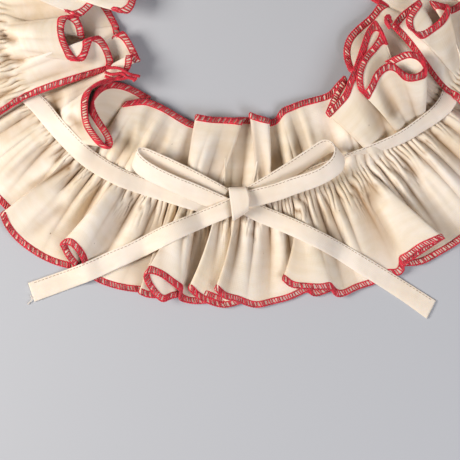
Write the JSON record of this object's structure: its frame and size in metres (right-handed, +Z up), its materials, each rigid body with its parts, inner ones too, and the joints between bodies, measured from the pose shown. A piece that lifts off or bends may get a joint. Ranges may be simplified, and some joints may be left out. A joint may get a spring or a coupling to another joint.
{
  "type": "detachable frill collar with tie",
  "caption": "Detachable gathered cotton collar laid flat in a ring: two frills with red overlocked edges, gathered along a narrow self-fabric tie that is bowed at centre front.",
  "frame": {"origin": "on the surface the collar lies on, under the middle of its outline", "axes": "+X across the collar to the right of the picture, -Y to the centre front where the bow is, +Z up from the surface"},
  "size_m": [0.3558, 0.3486, 0.0204],
  "materials": {
    "cotton_cloth": "unbleached plain-weave cotton with fine dark seed flecks, matt",
    "cotton_tie": "the same cotton folded to a narrow band and edge stitched, matt",
    "red_thread": "red sewing thread of the overlocked edges",
    "seam_thread": "natural sewing thread of the tie's edge stitching"
  },
  "bodies": {
    "root": {"frill_front": "cotton_cloth", "frill_back": "cotton_cloth", "tie_back": "cotton_tie", "tie_band_left": "cotton_tie", "tie_band_right": "cotton_tie", "bow_loop_left": "cotton_tie", "bow_loop_right": "cotton_tie", "bow_knot": "cotton_tie", "tie_tail_left": "cotton_tie", "tie_tail_right": "cotton_tie"}
  },
  "joints": []
}
